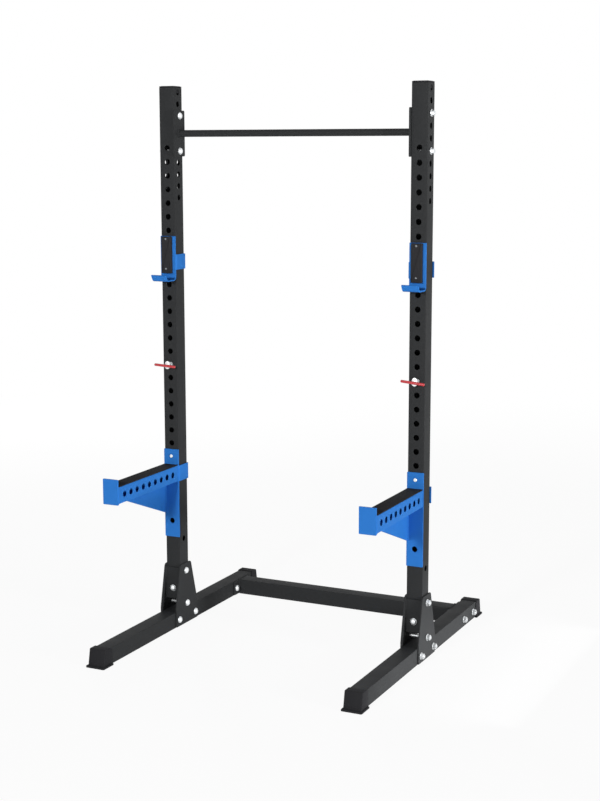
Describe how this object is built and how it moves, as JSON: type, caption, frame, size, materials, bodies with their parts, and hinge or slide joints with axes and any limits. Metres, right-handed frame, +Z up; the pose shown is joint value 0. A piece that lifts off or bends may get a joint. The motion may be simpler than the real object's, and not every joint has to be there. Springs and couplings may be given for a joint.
{
  "type": "half rack",
  "caption": "Free-standing half rack of drilled square uprights on long feet, with a pull-up bar, J-hooks, safety arms and T-pins.",
  "frame": {"origin": "on the floor, midway between the uprights and midway along the feet", "axes": "+X to the rack's right seen from the front, +Y to the rear, +Z up"},
  "size_m": [1.0994, 1.204, 2.038],
  "materials": {
    "black_paint": "satin black powder coat",
    "blue_paint": "satin blue powder coat",
    "zinc_steel": "bright zinc plate",
    "black_plastic": "moulded black plastic with a fine grain",
    "pad_plastic": "black wear plastic",
    "red_vinyl": "red dipped vinyl"
  },
  "bodies": {
    "rack_frame": {"crossmember": "black_paint", "pull_up_bar": "black_paint", "left_foot": "black_paint", "left_front_foot_cap": "black_plastic", "left_rear_foot_cap": "black_plastic", "left_upright": "black_paint", "left_upright_plug": "black_plastic", "left_base_bracket": "black_paint", "left_bracket_top_bolt": "zinc_steel", "left_bracket_middle_bolt": "zinc_steel", "left_bracket_rear_bolt": "zinc_steel", "left_bracket_front_bolt": "zinc_steel", "left_bracket_web_bolt": "zinc_steel", "left_bar_upper_bolt": "zinc_steel", "left_bar_lower_bolt": "zinc_steel", "left_crossmember_front_bolt": "zinc_steel", "left_crossmember_rear_bolt": "zinc_steel", "right_foot": "black_paint", "right_front_foot_cap": "black_plastic", "right_rear_foot_cap": "black_plastic", "right_upright": "black_paint", "right_upright_plug": "black_plastic", "right_base_bracket": "black_paint", "right_bracket_top_bolt": "zinc_steel", "right_bracket_middle_bolt": "zinc_steel", "right_bracket_rear_bolt": "zinc_steel", "right_bracket_front_bolt": "zinc_steel", "right_bracket_web_bolt": "zinc_steel", "right_bar_upper_bolt": "zinc_steel", "right_bar_lower_bolt": "zinc_steel", "right_crossmember_front_bolt": "zinc_steel", "right_crossmember_rear_bolt": "zinc_steel"},
    "left_hook": {"left_j_hook": "blue_paint", "left_j_hook_pad": "pad_plastic", "left_j_hook_upper_screw": "zinc_steel", "left_j_hook_lower_screw": "zinc_steel"},
    "right_hook": {"right_j_hook": "blue_paint", "right_j_hook_pad": "pad_plastic", "right_j_hook_upper_screw": "zinc_steel", "right_j_hook_lower_screw": "zinc_steel"},
    "left_arm": {"left_safety_arm": "blue_paint", "left_safety_arm_liner": "pad_plastic", "left_safety_arm_pin": "zinc_steel"},
    "right_arm": {"right_safety_arm": "blue_paint", "right_safety_arm_liner": "pad_plastic", "right_safety_arm_pin": "zinc_steel"},
    "left_pull_pin": {"left_t_pin": "zinc_steel", "left_t_pin_handle": "red_vinyl"},
    "right_pull_pin": {"right_t_pin": "zinc_steel", "right_t_pin_handle": "red_vinyl"}
  },
  "joints": [
    {"name": "left_hook_swing", "type": "hinge", "parent": "rack_frame", "child": "left_hook", "pos_m": [-0.49425, -0.014, 1.4648], "axis": [0, -1, 0], "range_deg": [0, 90]},
    {"name": "right_hook_swing", "type": "hinge", "parent": "rack_frame", "child": "right_hook", "pos_m": [0.49425, -0.014, 1.4648], "axis": [0, 1, 0], "range_deg": [0, 90]},
    {"name": "left_arm_swing", "type": "hinge", "parent": "rack_frame", "child": "left_arm", "pos_m": [-0.49425, -0.014, 0.6648], "axis": [0, -1, 0], "range_deg": [0, 90]},
    {"name": "right_arm_swing", "type": "hinge", "parent": "rack_frame", "child": "right_arm", "pos_m": [0.49425, -0.014, 0.6648], "axis": [0, 1, 0], "range_deg": [0, 90]},
    {"name": "left_pin_pull", "type": "slide", "parent": "rack_frame", "child": "left_pull_pin", "axis": [0, -1, 0], "range_m": [0, 0.085]},
    {"name": "right_pin_pull", "type": "slide", "parent": "rack_frame", "child": "right_pull_pin", "axis": [0, -1, 0], "range_m": [0, 0.085]}
  ]
}
